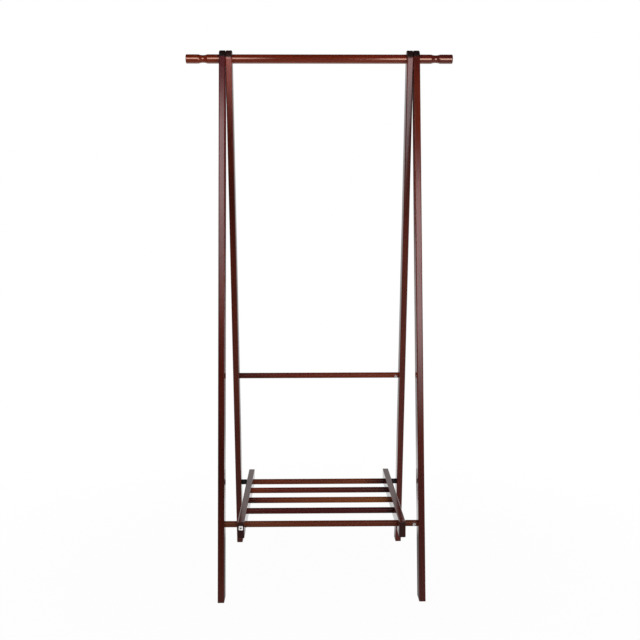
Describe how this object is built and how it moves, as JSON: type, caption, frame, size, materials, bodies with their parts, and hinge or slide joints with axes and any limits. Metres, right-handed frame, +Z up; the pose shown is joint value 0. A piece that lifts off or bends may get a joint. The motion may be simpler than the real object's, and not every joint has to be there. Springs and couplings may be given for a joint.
{
  "type": "clothes rack",
  "caption": "Folding wooden clothes rack: leaning leg pairs pivot on a turned hanging rod, with a mid bar, a front bar and a slatted shelf that hooks over the front bar.",
  "frame": {"origin": "on the floor, midway between the four feet, under the middle of the hanging rod", "axes": "+Z up, +X along the hanging rod to the right as seen from the front, +Y from the front feet to the rear feet"},
  "size_m": [0.8, 0.5824, 1.602],
  "materials": {
    "lacquered_wood": "glossy dark mahogany lacquer",
    "black_plastic": "satin black",
    "zinc_steel": "bright zinc",
    "white_plastic": "satin white",
    "black_steel": "black oxide"
  },
  "bodies": {
    "rear_frame": {"rear_left_leg": "lacquered_wood", "rear_right_leg": "lacquered_wood", "mid_bar": "lacquered_wood", "mid_bar_bolts": "zinc_steel", "mid_bar_nuts": "zinc_steel", "hanging_rod": "lacquered_wood", "rod_screws": "zinc_steel", "left_washer": "black_plastic", "right_washer": "black_plastic"},
    "front_frame": {"front_left_leg": "lacquered_wood", "front_right_leg": "lacquered_wood", "front_bar": "lacquered_wood", "front_bar_bolts": "zinc_steel", "front_bar_nuts": "zinc_steel"},
    "shelf": {"left_rail": "lacquered_wood", "right_rail": "lacquered_wood", "rear_dowel": "lacquered_wood", "shelf_dowel_1": "lacquered_wood", "shelf_dowel_2": "lacquered_wood", "shelf_dowel_3": "lacquered_wood", "left_spacer": "black_plastic", "right_spacer": "black_plastic", "pivot_bolts": "zinc_steel", "pivot_nuts": "zinc_steel", "end_plate": "white_plastic", "end_plate_screw": "black_steel"}
  },
  "joints": [
    {"name": "fold", "type": "hinge", "parent": "rear_frame", "child": "front_frame", "pos_m": [0, 0, 1.577], "axis": [1, 0, 0], "range_deg": [0, 17.2]},
    {"name": "shelf_fold", "type": "hinge", "parent": "rear_frame", "child": "shelf", "pos_m": [0, 0.22455, 0.215], "axis": [-1, 0, 0], "range_deg": [0, 75]}
  ],
  "couplings": [
    {"joint": "shelf_fold", "follows": "fold", "ratio": 4.36}
  ]
}
